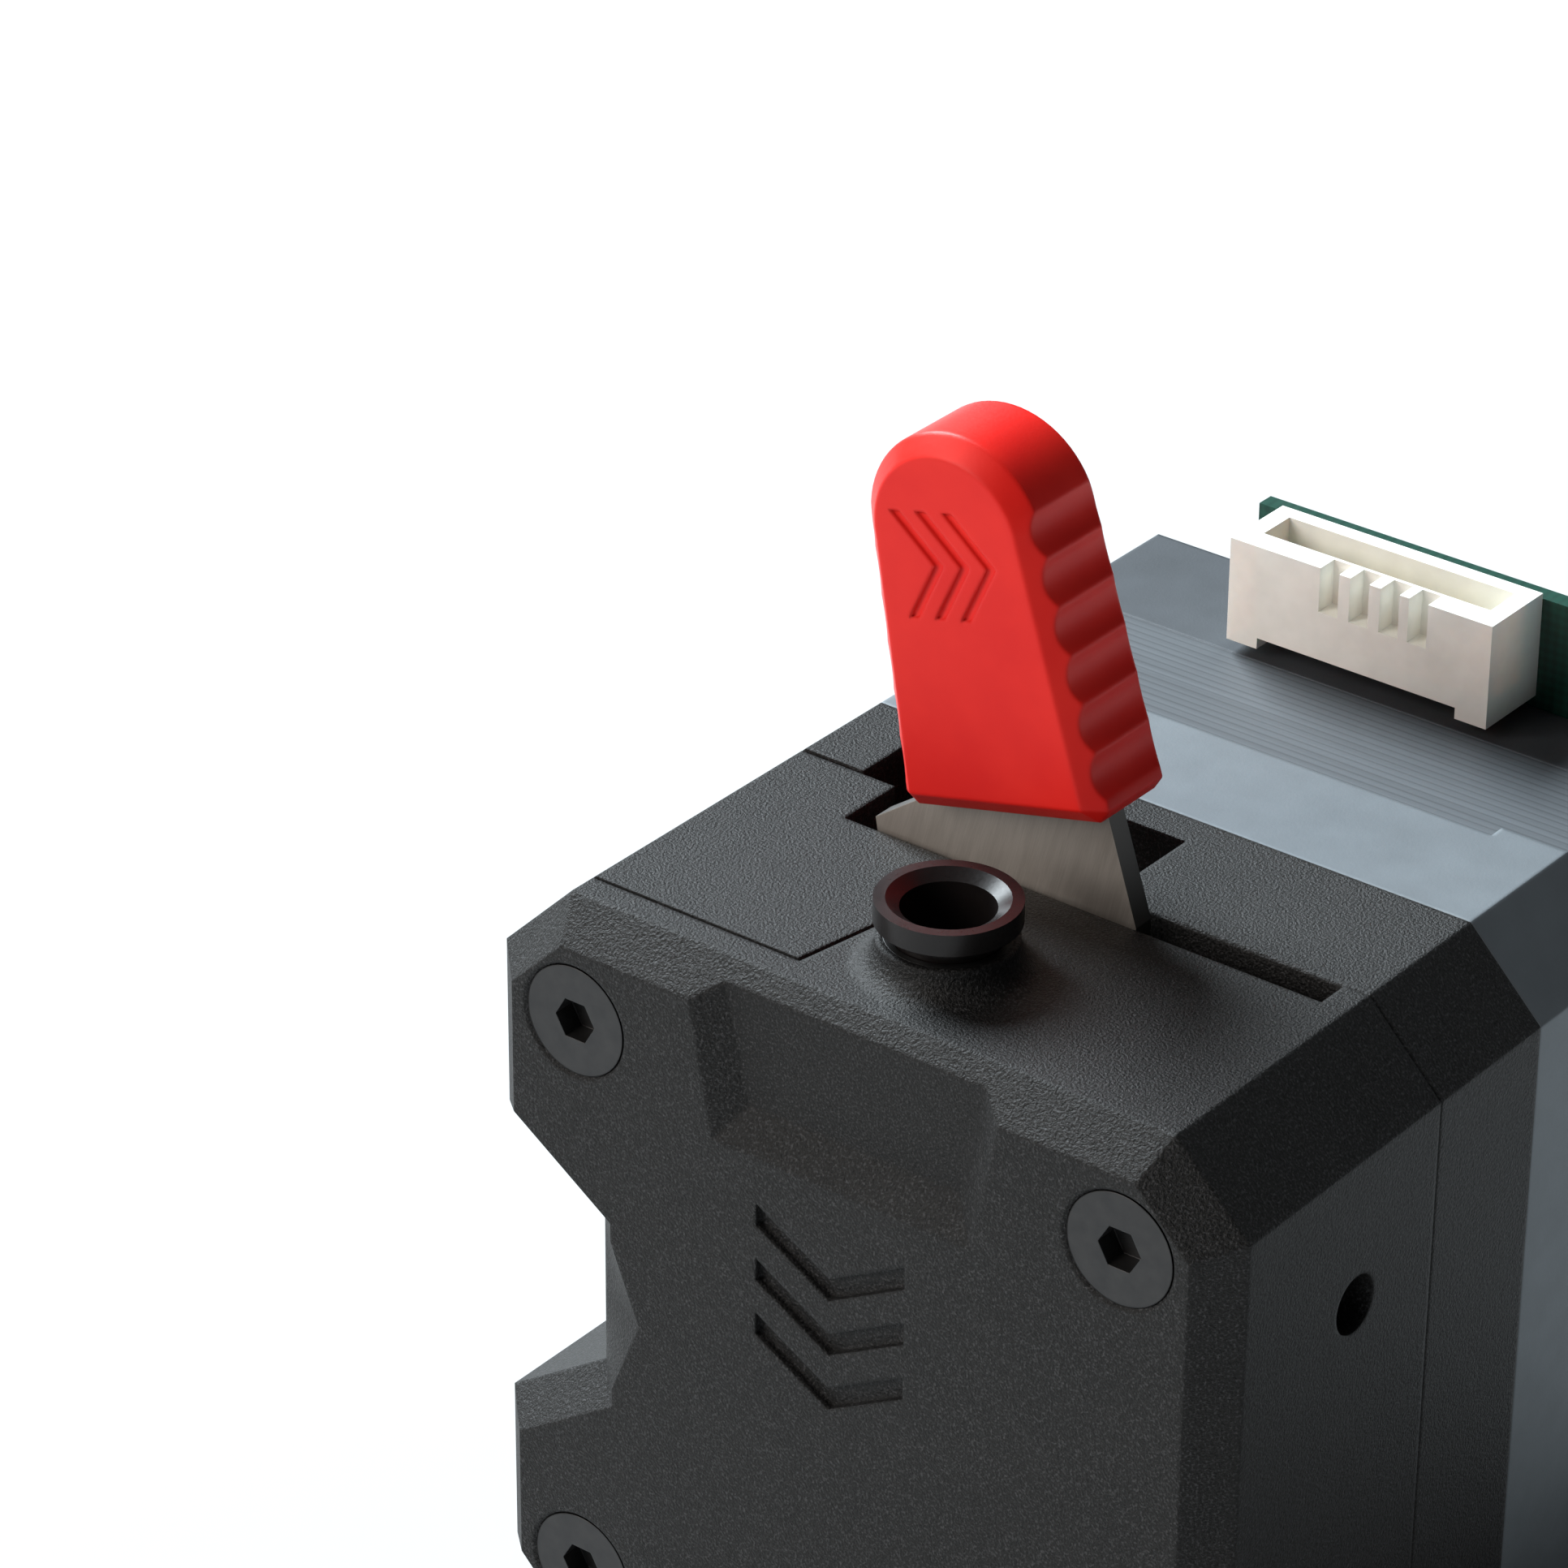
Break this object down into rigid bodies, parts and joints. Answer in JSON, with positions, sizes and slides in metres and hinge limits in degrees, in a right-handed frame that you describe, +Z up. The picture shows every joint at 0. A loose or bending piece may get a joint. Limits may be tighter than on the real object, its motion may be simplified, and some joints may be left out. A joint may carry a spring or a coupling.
{
  "type": "filament extruder with dual drive gears",
  "caption": "Compact geared filament extruder on a square stepper motor, with a black nylon housing, a flip lever that opens the idler arm and a push-fit inlet.",
  "frame": {"origin": "centre of the filament outlet on the flat bottom face of the housing", "axes": "+Z up the filament path to the inlet, +Y from the front face to the motor, +X to the right along the front face"},
  "size_m": [0.0422, 0.0489, 0.065],
  "materials": {
    "housing_nylon": "sintered nylon, fine grain, dyed black",
    "black_oxide_steel": "black oxide, satin",
    "bright_steel": "ground steel",
    "gear_steel": "hardened steel",
    "lever_steel": "brushed stainless sheet",
    "aluminium": "turned",
    "brass": "turned",
    "copper": "enamelled wire",
    "rubber": "matt",
    "collet_plastic": "glossy black",
    "white_polymer": "slippery, smooth",
    "wheel_polymer": "moulded, natural",
    "handle_red": "moulded, satin red",
    "motor_bell": "die-cast, satin",
    "motor_laminations": "stacked steel sheet, coated",
    "motor_rear": "die-cast, satin",
    "circuit_board": "green solder mask",
    "connector_plastic": "moulded, off-white",
    "magnet": "sintered magnet"
  },
  "bodies": {
    "housing": {"front_shell": "housing_nylon", "rear_shell": "housing_nylon", "cover_screws": "black_oxide_steel", "arm_pivot_sleeve": "bright_steel", "lever_pivot_pin": "bright_steel", "lever_washer": "white_polymer", "threaded_inserts": "brass", "fitting_sleeve": "black_oxide_steel", "fitting_o_ring": "rubber", "inlet_guide": "white_polymer", "outlet_guide": "white_polymer", "front_bearing": "bright_steel", "rear_bearing": "bright_steel", "tension_spring": "bright_steel", "motor_front_bell": "motor_bell", "motor_stator_core": "motor_laminations", "motor_coils": "copper", "motor_rear_bell": "motor_rear", "motor_front_bearing": "bright_steel", "motor_rear_bearing": "bright_steel", "motor_wave_washer": "bright_steel", "motor_tie_screws": "black_oxide_steel", "motor_pcb": "circuit_board", "motor_connector": "connector_plastic", "motor_connector_pins": "brass"},
    "rotor": {"motor_shaft": "gear_steel", "rotor_cups": "motor_laminations", "rotor_magnet": "magnet"},
    "drive_train": {"drive_shaft": "bright_steel", "drive_spacer": "aluminium", "drive_gear": "gear_steel", "reduction_wheel": "wheel_polymer"},
    "idler_arm": {"idler_arm": "housing_nylon", "idler_axle": "bright_steel"},
    "idler_wheel": {"idler_gear": "gear_steel", "idler_needle_bearing": "bright_steel"},
    "release_lever": {"lever_plate": "lever_steel", "lever_handle": "handle_red"},
    "collet": {"inlet_collet": "collet_plastic"}
  },
  "joints": [
    {"name": "rotor_spin", "type": "hinge", "parent": "housing", "child": "rotor", "pos_m": [-0.0005, 0.028, 0.02115], "axis": [0, 1, 0], "continuous": true},
    {"name": "drive_spin", "type": "hinge", "parent": "housing", "child": "drive_train", "pos_m": [0.005, 0.005, 0.01162], "axis": [0, 1, 0], "continuous": true},
    {"name": "lever_swing", "type": "hinge", "parent": "housing", "child": "release_lever", "pos_m": [0.0017, 0.00855, 0.02765], "axis": [0, 1, 0], "range_deg": [0, 36]},
    {"name": "arm_swing", "type": "hinge", "parent": "housing", "child": "idler_arm", "pos_m": [-0.016, 0.002, 0.03665], "axis": [0, 1, 0], "range_deg": [0, 4], "stiffness_Nm_per_rad": 0.2, "springref_deg": -28.65, "deforming": ["tension_spring"]},
    {"name": "idler_spin", "type": "hinge", "parent": "idler_arm", "child": "idler_wheel", "pos_m": [-0.005, 0.0015, 0.01162], "axis": [0, 1, 0], "continuous": true},
    {"name": "collet_press", "type": "slide", "parent": "housing", "child": "collet", "axis": [0, 0, 1], "range_m": [-0.0008, 0], "stiffness_N_per_m": 400, "springref_m": 0.0002}
  ],
  "couplings": [
    {"joint": "drive_spin", "follows": "rotor_spin", "ratio": -0.33333},
    {"joint": "idler_spin", "follows": "rotor_spin", "ratio": 0.33333},
    {"joint": "arm_swing", "follows": "lever_swing", "ratio": 0.11111}
  ]
}
